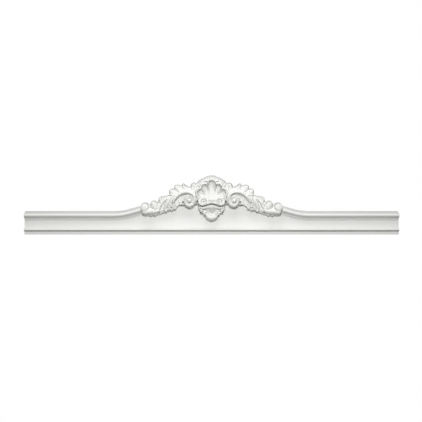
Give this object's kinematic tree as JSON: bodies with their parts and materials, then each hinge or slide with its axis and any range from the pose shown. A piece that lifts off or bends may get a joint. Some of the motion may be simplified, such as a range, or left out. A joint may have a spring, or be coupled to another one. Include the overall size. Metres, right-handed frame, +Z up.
{
  "type": "door surround moulding",
  "caption": "White crosshead moulding for over a door, with a moulded cap and lip and a carved shell and scroll crest in the middle.",
  "frame": {"origin": "on the flat back, on the centre line, at mid-height of the straight band", "axes": "+X to the right seen from the front, +Z up, +Y out of the back into the wall"},
  "size_m": [1.275, 0.0581, 0.2033],
  "materials": {
    "white_resin": "smooth primed rigid polyurethane, satin-matt white"
  },
  "bodies": {
    "root": {"door_head": "white_resin"}
  },
  "joints": []
}
